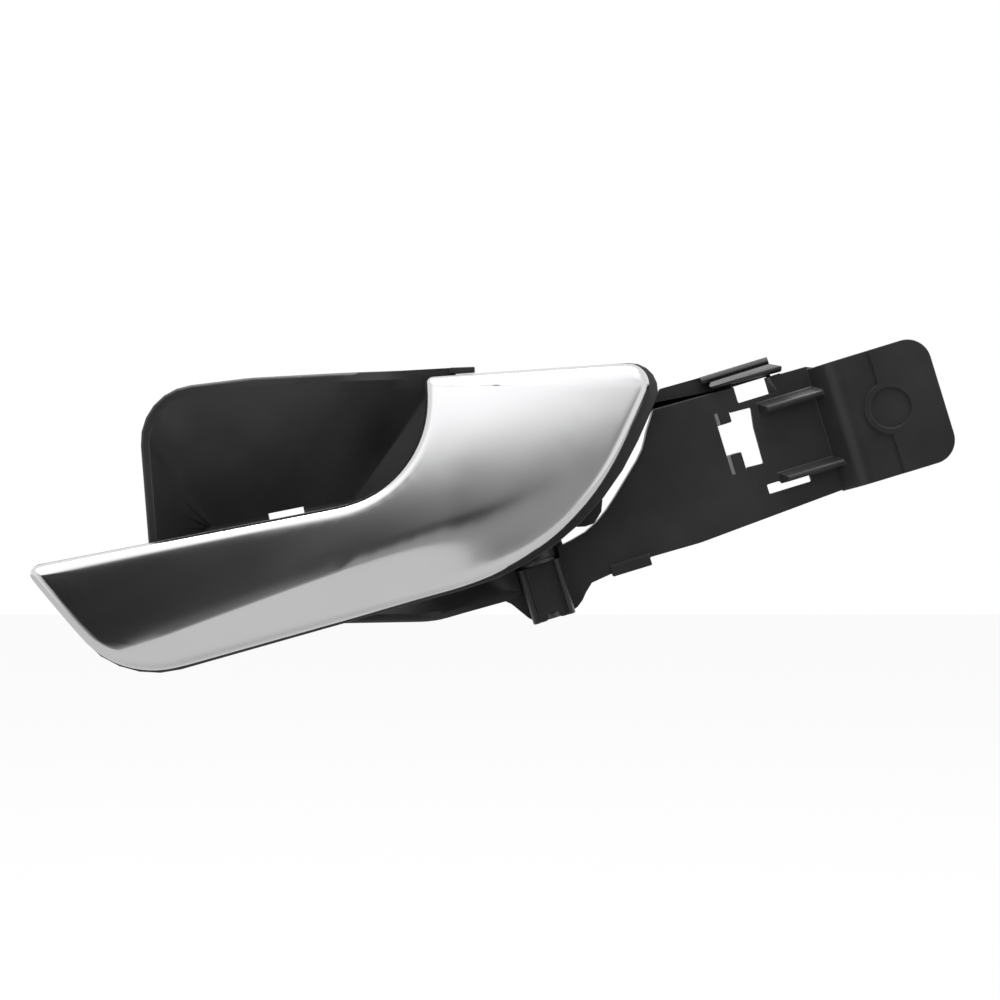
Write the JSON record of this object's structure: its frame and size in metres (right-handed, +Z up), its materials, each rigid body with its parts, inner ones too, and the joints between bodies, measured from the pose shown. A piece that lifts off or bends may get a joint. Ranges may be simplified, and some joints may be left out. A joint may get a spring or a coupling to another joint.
{
  "type": "car interior door handle",
  "caption": "Satin chrome pull lever on a slanted pivot in front of a black finger cup, with a flat perforated arm that holds the latch cable and ends in a stepped fixing pad.",
  "frame": {"origin": "centre of the end face of the screw boss behind the end pad, where it seats on the door", "axes": "+X along the door towards the end pad, +Y into the door, +Z up; the arm and the pivot axis lean 17 degrees from X and Z"},
  "size_m": [0.2094, 0.0369, 0.0758],
  "materials": {
    "black_plastic": "fine grained",
    "satin_chrome": "satin",
    "steel": "plain",
    "bearing_plastic": "smooth",
    "rubber": "matte"
  },
  "bodies": {
    "housing": {"housing": "black_plastic", "pivot_pin": "steel", "pin_clip": "steel", "return_spring": "steel", "rest_bumper_upper": "rubber", "rest_bumper_lower": "rubber", "travel_bumper": "rubber"},
    "lever": {"lever_cover": "satin_chrome", "lever_core": "black_plastic", "bush_upper": "bearing_plastic", "bush_lower": "bearing_plastic", "cover_screw_upper": "steel", "cover_screw_lower": "steel"}
  },
  "joints": [
    {"name": "lever_pivot", "type": "hinge", "parent": "housing", "child": "lever", "pos_m": [-0.08329, -0.011, -0.02547], "axis": [-0.2924, 0, 0.9563], "range_deg": [0, 40], "stiffness_Nm_per_rad": 0.4, "springref_deg": -17.19, "deforming": ["return_spring"]}
  ]
}
